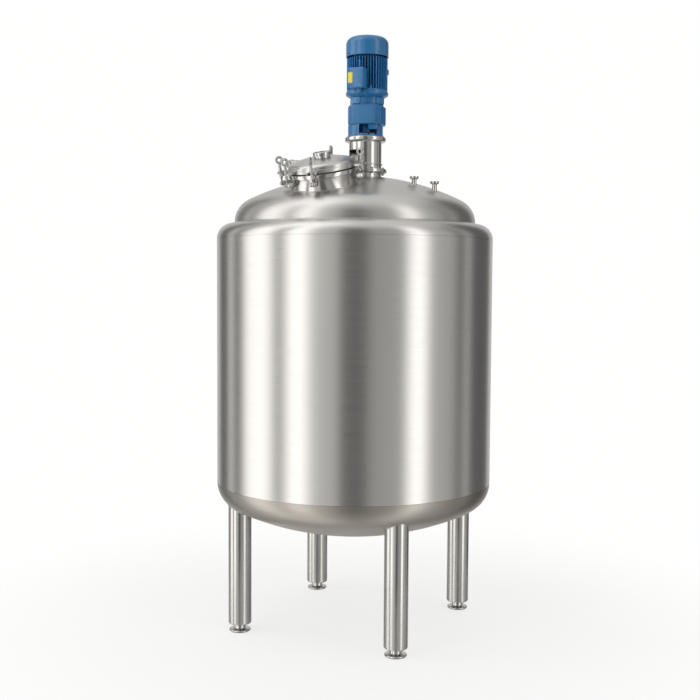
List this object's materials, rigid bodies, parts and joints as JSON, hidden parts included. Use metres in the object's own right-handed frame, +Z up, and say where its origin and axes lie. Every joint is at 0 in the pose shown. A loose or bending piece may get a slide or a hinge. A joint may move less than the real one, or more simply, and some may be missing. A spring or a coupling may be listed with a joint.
{
  "type": "jacketed mixing tank",
  "caption": "Upright insulated stainless mixing tank on four legs, with a domed top, a hinged manway with swing clamps and a top-mounted gearmotor agitator.",
  "frame": {"origin": "on the floor under the middle of the tank", "axes": "+Z up the tank, -Y to the front, where the manway leans, +X to the right"},
  "size_m": [1.7, 1.7, 3.583],
  "materials": {
    "brushed_jacket": "fine horizontal brushing",
    "satin_dome": "satin, soft highlights",
    "inner_steel": "smooth product side",
    "leg_steel": "brushed tube",
    "polished_steel": "polished fittings",
    "blue_paint": "semi-gloss machine blue",
    "yellow_plate": "plain yellow plate",
    "black_rubber": "matt seal",
    "sight_glass": "clear glass disc"
  },
  "bodies": {
    "tank": {"agitator_nozzle": "polished_steel", "blank_plate": "yellow_plate", "bottom_outlet": "polished_steel", "cable_gland": "blue_paint", "foot_1": "polished_steel", "foot_2": "polished_steel", "foot_3": "polished_steel", "foot_4": "polished_steel", "gearbox_base": "blue_paint", "gearbox_housing": "blue_paint", "hinge_pin": "polished_steel", "jacket_bottom": "brushed_jacket", "jacket_shoulder": "brushed_jacket", "jacket_wall_1": "brushed_jacket", "jacket_wall_2": "brushed_jacket", "jacket_wall_3": "brushed_jacket", "jacket_wall_4": "brushed_jacket", "lantern": "polished_steel", "leg_1": "leg_steel", "leg_2": "leg_steel", "leg_3": "leg_steel", "leg_4": "leg_steel", "manway_gasket": "black_rubber", "manway_neck": "polished_steel", "motor_adapter": "blue_paint", "motor_cowl": "blue_paint", "motor_end_shield": "blue_paint", "motor_frame": "blue_paint", "shaft_seal": "polished_steel", "small_nozzle_1": "polished_steel", "small_nozzle_2": "polished_steel", "terminal_box": "blue_paint", "terminal_lid": "blue_paint", "top_head": "satin_dome", "vessel_bottom": "inner_steel", "vessel_wall_1": "inner_steel", "vessel_wall_2": "inner_steel", "vessel_wall_3": "inner_steel", "vessel_wall_4": "inner_steel"},
    "cover": {"manway_cover": "satin_dome", "sight_port": "polished_steel", "sight_glass": "sight_glass"},
    "rotor": {"agitator_shaft": "polished_steel", "impeller": "polished_steel"},
    "clamp_1": {"swing_bolt_1": "polished_steel", "ring_nut_1": "polished_steel"},
    "clamp_2": {"swing_bolt_2": "polished_steel", "ring_nut_2": "polished_steel"},
    "clamp_3": {"swing_bolt_3": "polished_steel", "ring_nut_3": "polished_steel"},
    "clamp_4": {"swing_bolt_4": "polished_steel", "ring_nut_4": "polished_steel"},
    "clamp_5": {"swing_bolt_5": "polished_steel", "ring_nut_5": "polished_steel"}
  },
  "joints": [
    {"name": "cover_hinge", "type": "hinge", "parent": "tank", "child": "cover", "pos_m": [-0.38902, -0.21803, 2.84057], "axis": [-0.7505, -0.6155, -0.2409], "range_deg": [0, 100]},
    {"name": "clamp_swing_1", "type": "hinge", "parent": "tank", "child": "clamp_1", "pos_m": [-0.12874, -0.19688, 2.79177], "axis": [-0.9658, 0.2498, -0.0695], "range_deg": [0, 90]},
    {"name": "clamp_swing_2", "type": "hinge", "parent": "tank", "child": "clamp_2", "pos_m": [-0.42449, -0.40995, 2.70364], "axis": [-0.0375, -0.9726, -0.2295], "range_deg": [0, 90]},
    {"name": "clamp_swing_3", "type": "hinge", "parent": "tank", "child": "clamp_3", "pos_m": [-0.38385, -0.5519, 2.67622], "axis": [0.5523, -0.8253, -0.1178], "range_deg": [0, 90]},
    {"name": "clamp_swing_4", "type": "hinge", "parent": "tank", "child": "clamp_4", "pos_m": [-0.23443, -0.65583, 2.67189], "axis": [0.9696, -0.2333, 0.0738], "range_deg": [0, 90]},
    {"name": "clamp_swing_5", "type": "hinge", "parent": "tank", "child": "clamp_5", "pos_m": [0.04537, -0.50627, 2.74326], "axis": [0.3092, 0.9169, 0.2524], "range_deg": [0, 90]},
    {"name": "agitator_spin", "type": "hinge", "parent": "tank", "child": "rotor", "pos_m": [0.06, -0.2, 1.18], "axis": [0, 0, 1], "continuous": true}
  ]
}
